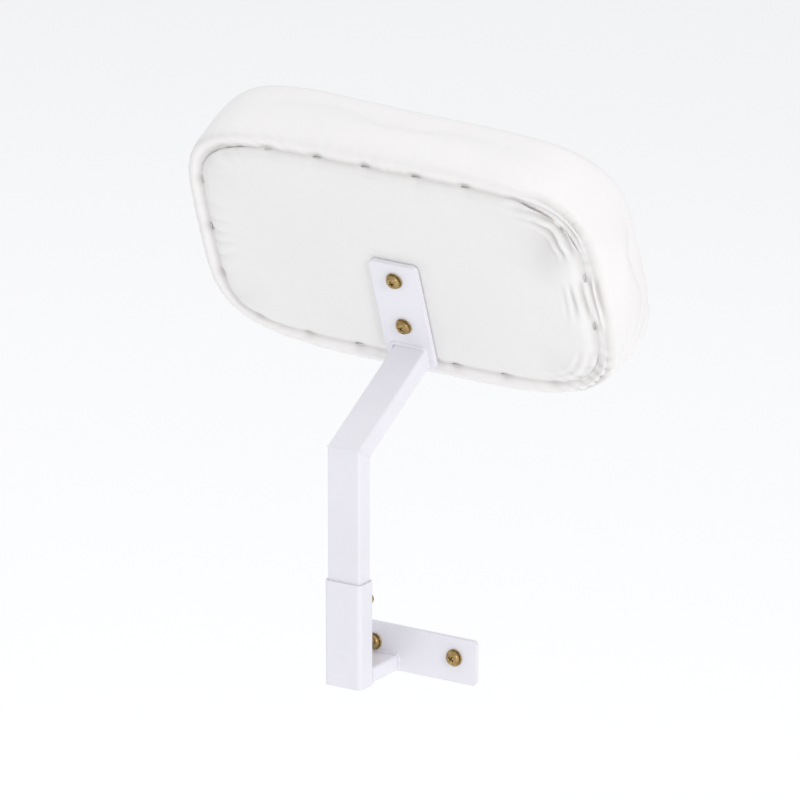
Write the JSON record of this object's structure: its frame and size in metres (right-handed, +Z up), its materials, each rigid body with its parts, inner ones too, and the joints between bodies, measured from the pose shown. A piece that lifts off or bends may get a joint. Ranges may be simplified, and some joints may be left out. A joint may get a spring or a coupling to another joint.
{
  "type": "padded side support",
  "caption": "Oval padded cushion on a bent steel post that slides up and down in a sleeve, with a flat plate that screws to the side rail of a treatment bed.",
  "frame": {"origin": "centre of the rail plate's back face, the flat face that lies on the bed's side rail", "axes": "+X along the rail, +Y out of the plate's back face and into the rail, +Z up along the post"},
  "size_m": [0.36, 0.1727, 0.4181],
  "materials": {
    "powder_coat": "white powder coat, satin",
    "zinc": "yellow zinc plate, dulled",
    "plug_plastic": "moulded, matt",
    "leatherette": "white leatherette, soft sheen",
    "back_vinyl": "thin white vinyl, matt",
    "foam": "open cell",
    "plywood": "raw"
  },
  "bodies": {
    "bracket": {"rail_plate": "powder_coat", "rail_stub": "powder_coat", "post_sleeve": "powder_coat", "rail_washer_head": "zinc", "rail_washer_foot": "zinc", "rail_screw_head": "zinc", "rail_screw_foot": "zinc", "clamp_nut_lower": "zinc", "clamp_nut_upper": "zinc", "clamp_bolt_lower": "zinc", "clamp_bolt_upper": "zinc"},
    "support": {"post_tube": "powder_coat", "post_plug": "plug_plastic", "arm_tube": "powder_coat", "pad_strap": "powder_coat", "pad_washer_upper": "zinc", "pad_washer_lower": "zinc", "pad_screw_upper": "zinc", "pad_screw_lower": "zinc", "tee_nut_upper": "zinc", "tee_nut_lower": "zinc", "back_panel": "back_vinyl", "backboard": "plywood", "foam_core": "foam", "pad_cover": "leatherette"}
  },
  "joints": [
    {"name": "height_slide", "type": "slide", "parent": "bracket", "child": "support", "axis": [0, 0, 1], "range_m": [0, 0.05]}
  ]
}
